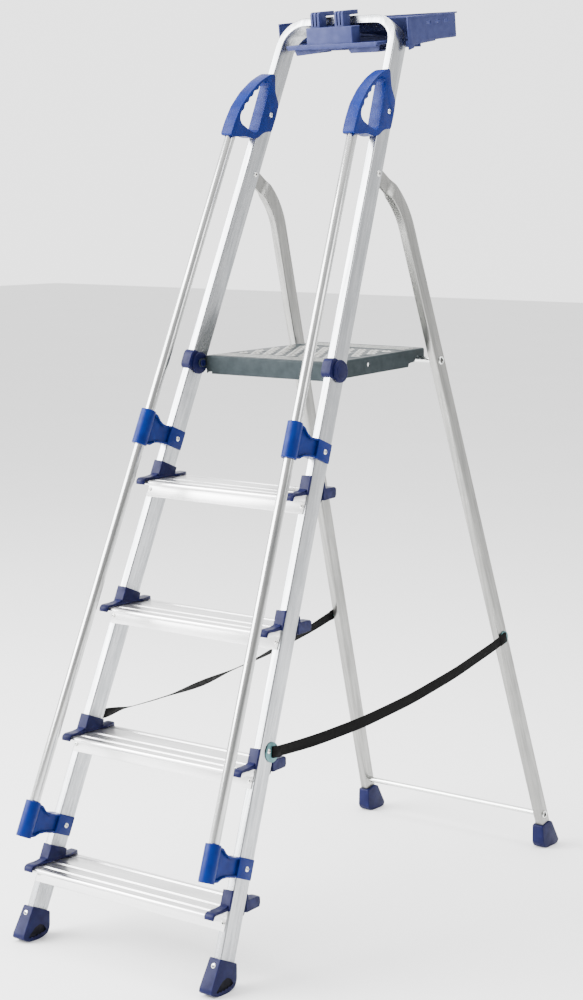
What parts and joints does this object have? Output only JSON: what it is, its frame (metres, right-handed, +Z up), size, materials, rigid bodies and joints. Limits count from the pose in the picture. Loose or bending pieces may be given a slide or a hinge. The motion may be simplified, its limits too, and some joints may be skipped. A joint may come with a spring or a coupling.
{
  "type": "platform step ladder",
  "caption": "Folding step ladder with deep treads, a hooked platform, splayed rear legs, side handrails and a clip-on tool tray.",
  "frame": {"origin": "middle of the ladder's footprint, on the floor", "axes": "+X to the climber's right, +Y from the treads towards the rear legs, +Z up"},
  "size_m": [0.502, 1.194, 1.7818],
  "materials": {
    "aluminium": "drawn aluminium, satin",
    "tread_aluminium": "ribbed extruded aluminium",
    "zinc": "bright zinc plate",
    "rivet_metal": "bright",
    "navy_plastic": "moulded, fine grain",
    "tray_plastic": "moulded, satin",
    "blue_plastic": "moulded, satin",
    "platform_grey": "powder coat",
    "webbing": "woven"
  },
  "bodies": {
    "front": {"front_frame": "aluminium", "tread_1": "tread_aluminium", "tread_2": "tread_aluminium", "tread_3": "tread_aluminium", "tread_4": "tread_aluminium", "handrail_right": "aluminium", "grip_handle_right": "blue_plastic", "grip_rivet_right": "rivet_metal", "rail_clamp_lower_right": "blue_plastic", "rail_clamp_rivet_lower_right": "rivet_metal", "rail_clamp_upper_right": "blue_plastic", "rail_clamp_rivet_upper_right": "rivet_metal", "platform_saddle_right": "navy_plastic", "strap_anchor_front_right": "zinc", "front_foot_rivet_right": "rivet_metal", "leg_pivot_rivet_right": "rivet_metal", "front_foot_right": "navy_plastic", "platform_pin_right": "rivet_metal", "strap_right": "webbing", "tread_bracket_right_1": "navy_plastic", "tread_rivet_right_1": "rivet_metal", "tread_bracket_right_2": "navy_plastic", "tread_rivet_right_2": "rivet_metal", "tread_bracket_right_3": "navy_plastic", "tread_rivet_right_3": "rivet_metal", "tread_bracket_right_4": "navy_plastic", "tread_rivet_right_4": "rivet_metal", "handrail_left": "aluminium", "grip_handle_left": "blue_plastic", "grip_rivet_left": "rivet_metal", "rail_clamp_lower_left": "blue_plastic", "rail_clamp_rivet_lower_left": "rivet_metal", "rail_clamp_upper_left": "blue_plastic", "rail_clamp_rivet_upper_left": "rivet_metal", "platform_saddle_left": "navy_plastic", "strap_anchor_front_left": "zinc", "front_foot_rivet_left": "rivet_metal", "leg_pivot_rivet_left": "rivet_metal", "front_foot_left": "navy_plastic", "platform_pin_left": "rivet_metal", "strap_left": "webbing", "tread_bracket_left_1": "navy_plastic", "tread_rivet_left_1": "rivet_metal", "tread_bracket_left_2": "navy_plastic", "tread_rivet_left_2": "rivet_metal", "tread_bracket_left_3": "navy_plastic", "tread_rivet_left_3": "rivet_metal", "tread_bracket_left_4": "navy_plastic", "tread_rivet_left_4": "rivet_metal", "tool_tray": "tray_plastic"},
    "rear": {"rear_leg_right": "aluminium", "strap_anchor_rear_right": "zinc", "rear_foot_right": "navy_plastic", "rear_leg_left": "aluminium", "strap_anchor_rear_left": "zinc", "rear_foot_left": "navy_plastic", "cross_bar": "zinc", "platform_bar": "zinc"},
    "deck": {"platform": "platform_grey"}
  },
  "joints": [
    {"name": "rear_fold", "type": "hinge", "parent": "front", "child": "rear", "pos_m": [0, 0.02353, 1.458], "axis": [-1, 0, 0], "range_deg": [0, 38], "deforming": ["strap_right", "strap_left"]},
    {"name": "platform_fold", "type": "hinge", "parent": "front", "child": "deck", "pos_m": [0, -0.13304, 1.087], "axis": [1, 0, 0], "range_deg": [0, 68]}
  ]
}
